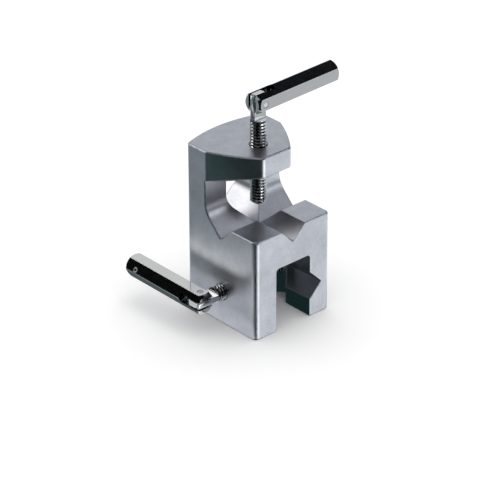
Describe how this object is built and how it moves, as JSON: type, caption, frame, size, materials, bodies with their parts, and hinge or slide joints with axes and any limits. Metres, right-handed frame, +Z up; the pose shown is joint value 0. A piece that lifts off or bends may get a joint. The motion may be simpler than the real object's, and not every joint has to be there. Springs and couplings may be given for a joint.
{
  "type": "rod clamp",
  "caption": "Cast clamp block with vee seats for rods, closed by threaded screws with folding hexagon levers.",
  "frame": {"origin": "on the base plane of the legs, straight under the axis of the upper screw", "axes": "+Z up along the upper screw, -Y the open front of the throat, the side screw enters along +X from the left leg"},
  "size_m": [0.1163, 0.0925, 0.1451],
  "materials": {
    "cast_body": "cast and fine blasted, satin",
    "screw_steel": "bright",
    "lever_steel": "bright, polished flats",
    "pin_steel": "ground",
    "tip_steel": "turned"
  },
  "bodies": {
    "clamp_body": {"clamp_body": "cast_body"},
    "upper_tip": {"upper_pressure_tip": "tip_steel"},
    "upper_spindle": {"upper_screw": "screw_steel"},
    "upper_handle": {"upper_lever": "lever_steel", "upper_pivot_pin": "pin_steel", "upper_spring_pin": "pin_steel"},
    "side_tip": {"side_pressure_tip": "tip_steel"},
    "side_spindle": {"side_screw": "screw_steel"},
    "side_handle": {"side_lever": "lever_steel", "side_pivot_pin": "pin_steel", "side_spring_pin": "pin_steel"}
  },
  "joints": [
    {"name": "upper_tip_slide", "type": "slide", "parent": "clamp_body", "child": "upper_tip", "axis": [0, 0, 1], "range_m": [-0.0125, 0.02]},
    {"name": "upper_screw_turn", "type": "hinge", "parent": "upper_tip", "child": "upper_spindle", "pos_m": [0, 0, 0.072], "axis": [0, 0, 1], "range_deg": [-2249, 3599]},
    {"name": "upper_lever_fold", "type": "hinge", "parent": "upper_spindle", "child": "upper_handle", "pos_m": [0, 0, 0.1376], "axis": [0.0366, -0.9993, 0], "range_deg": [0, 180]},
    {"name": "side_tip_slide", "type": "slide", "parent": "clamp_body", "child": "side_tip", "axis": [-1, 0, 0], "range_m": [-0.0006, 0.031]},
    {"name": "side_screw_turn", "type": "hinge", "parent": "side_tip", "child": "side_spindle", "pos_m": [0.019, 0, 0.02125], "axis": [-1, 0, 0], "range_deg": [-107, 5579]},
    {"name": "side_lever_fold", "type": "hinge", "parent": "side_spindle", "child": "side_handle", "pos_m": [-0.0466, 0, 0.02125], "axis": [0, 0, 1], "range_deg": [0, 180]}
  ],
  "couplings": [
    {"joint": "upper_tip_slide", "follows": "upper_screw_turn", "m_per_rad": 0.00031831},
    {"joint": "side_tip_slide", "follows": "side_screw_turn", "m_per_rad": 0.00031831}
  ]
}
